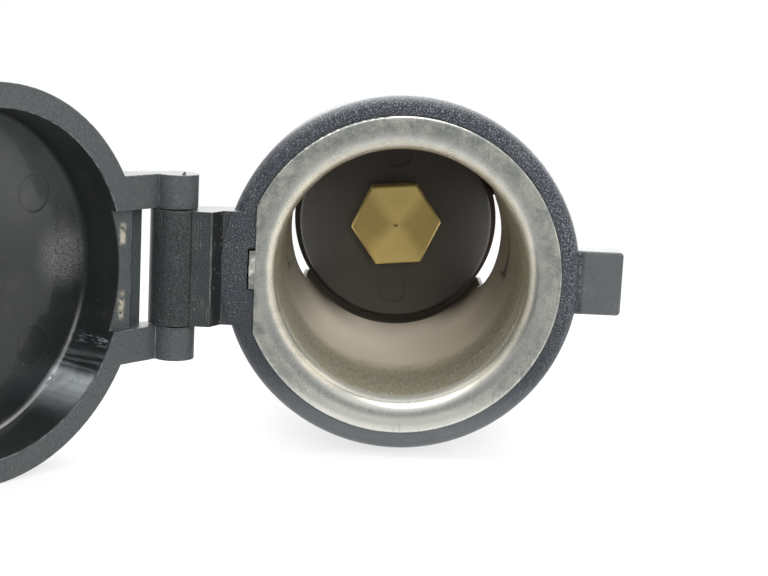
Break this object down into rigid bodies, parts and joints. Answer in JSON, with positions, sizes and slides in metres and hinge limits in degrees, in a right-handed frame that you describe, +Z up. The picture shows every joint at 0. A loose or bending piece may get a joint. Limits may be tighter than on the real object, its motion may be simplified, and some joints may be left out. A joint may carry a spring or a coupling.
{
  "type": "car power socket",
  "caption": "Car power socket with a plated sleeve, brass centre contact, moulded bezel and hinged dust lid, for a round hole in a trim panel.",
  "frame": {"origin": "on the bore axis, in the plane where the bezel's back seats on the panel", "axes": "mouth faces -Y, +Y into the panel, +Z up along the hinge axis, +X towards the catch tab"},
  "size_m": [0.0641, 0.0851, 0.0309],
  "materials": {
    "plated_steel": "satin nickel plate, lightly mottled",
    "bezel_plastic": "fine spark-eroded texture",
    "lid_plastic": "smooth inside, dusty",
    "pin_steel": "drawn",
    "insulator_plastic": "moulded, dull",
    "contact_brass": "turned",
    "terminal_brass": "stamped",
    "zinc_steel": "zinc plated"
  },
  "bodies": {
    "socket": {"socket_sleeve": "plated_steel", "bezel_housing": "bezel_plastic", "hinge_pin": "pin_steel", "front_insulator": "insulator_plastic", "rear_insulator": "insulator_plastic", "centre_contact": "contact_brass", "positive_terminal": "terminal_brass", "ground_terminal": "terminal_brass", "ground_rivet": "zinc_steel", "spring_washer": "zinc_steel", "contact_nut": "zinc_steel"},
    "lid": {"lid": "lid_plastic"}
  },
  "joints": [
    {"name": "lid_hinge", "type": "hinge", "parent": "socket", "child": "lid", "pos_m": [-0.0189, -0.00365, 0], "axis": [0, 0, 1], "range_deg": [-16, 129]}
  ]
}
